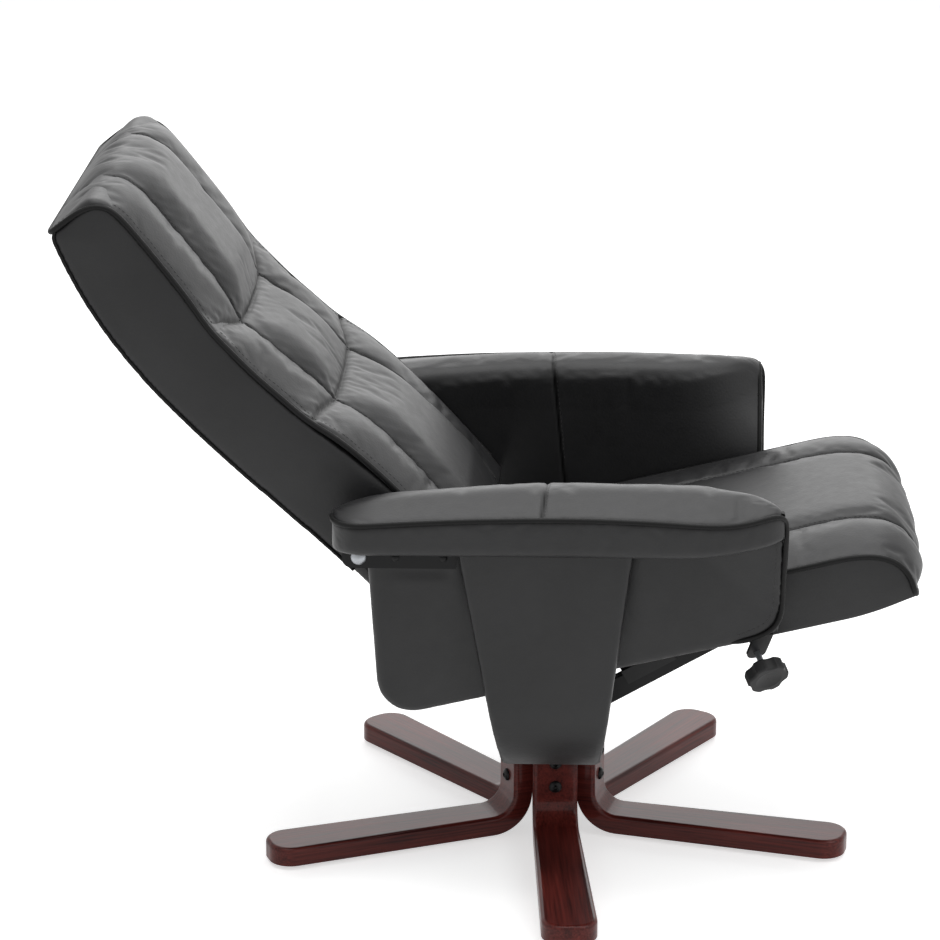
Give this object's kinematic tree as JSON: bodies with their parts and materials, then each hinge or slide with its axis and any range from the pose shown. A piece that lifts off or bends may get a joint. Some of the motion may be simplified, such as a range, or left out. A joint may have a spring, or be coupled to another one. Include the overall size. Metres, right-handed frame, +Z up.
{
  "type": "swivel recliner",
  "caption": "Padded swivel recliner on a bent-wood star base: the back tilts on side pivots, a push rod slides the seat on inclined rails, and a knob locks it.",
  "frame": {"origin": "where the vertical swivel axis meets the floor", "axes": "+X is the way the seat faces, +Y is the sitter's left, +Z is up"},
  "size_m": [1.0809, 0.7765, 0.9402],
  "materials": {
    "lacquered_wood": "gloss",
    "leatherette": "satin",
    "covered_ply": "satin",
    "black_steel": "satin",
    "zinc_steel": "satin",
    "black_plastic": "matte"
  },
  "bodies": {
    "base": {"base_leg_1": "lacquered_wood", "base_leg_2": "lacquered_wood", "base_leg_3": "lacquered_wood", "base_leg_4": "lacquered_wood", "base_leg_5": "lacquered_wood", "bearing_bush_lower": "black_plastic", "bearing_bush_upper": "black_plastic", "floor_glides": "black_plastic", "hub_housing": "black_steel", "leg_bolts": "black_steel", "thrust_washer": "black_plastic"},
    "swivel": {"arm_pad_left": "leatherette", "arm_pad_right": "leatherette", "arm_panel_left": "leatherette", "arm_panel_right": "leatherette", "arm_support": "covered_ply", "foot_bolts": "black_steel", "lock_bracket": "black_steel", "pivot_bolt_left": "black_steel", "pivot_bolt_right": "black_steel", "pivot_nut_left": "zinc_steel", "pivot_nut_right": "zinc_steel", "pivot_spacer_left": "zinc_steel", "pivot_spacer_right": "zinc_steel", "pivot_strap_left": "black_steel", "pivot_strap_right": "black_steel", "plate_bolts": "black_steel", "rail_foot_left": "black_steel", "rail_foot_right": "black_steel", "rail_tie": "black_steel", "slide_rail_left": "black_steel", "slide_rail_right": "black_steel", "spindle_clip": "zinc_steel", "strap_screws": "black_steel", "swivel_plate": "black_steel", "swivel_spindle": "zinc_steel"},
    "back": {"back_arm_left": "black_steel", "back_arm_right": "black_steel", "back_arm_screws": "black_steel", "back_cushion": "leatherette", "back_rear_cover": "leatherette", "back_shell": "leatherette", "pivot_bush_left": "black_plastic", "pivot_bush_right": "black_plastic", "push_rod": "zinc_steel"},
    "seat": {"runner_bracket_left": "black_steel", "runner_bracket_right": "black_steel", "runner_shoe_left": "black_plastic", "runner_shoe_right": "black_plastic", "seat_cushion": "leatherette", "seat_frame": "covered_ply", "slot_bracket_left": "black_steel", "slot_bracket_right": "black_steel"},
    "knob": {"knob_stud": "zinc_steel", "lock_knob": "black_plastic"}
  },
  "joints": [
    {"name": "swivel", "type": "hinge", "parent": "base", "child": "swivel", "pos_m": [0, 0, 0], "axis": [0, 0, 1], "continuous": true},
    {"name": "recline", "type": "hinge", "parent": "swivel", "child": "back", "pos_m": [-0.241, 0, 0.485], "axis": [0, 1, 0], "range_deg": [0, 23.5]},
    {"name": "seat_slide", "type": "slide", "parent": "swivel", "child": "seat", "axis": [-0.866, 0, -0.5], "range_m": [0, 0.096]},
    {"name": "knob_turn", "type": "hinge", "parent": "swivel", "child": "knob", "pos_m": [0.251, -0.25647, 0.3689], "axis": [0.3211, -0.7675, -0.5548], "range_deg": [0, 180]}
  ],
  "couplings": [
    {"joint": "seat_slide", "follows": "recline", "m_per_rad": 0.23405}
  ]
}
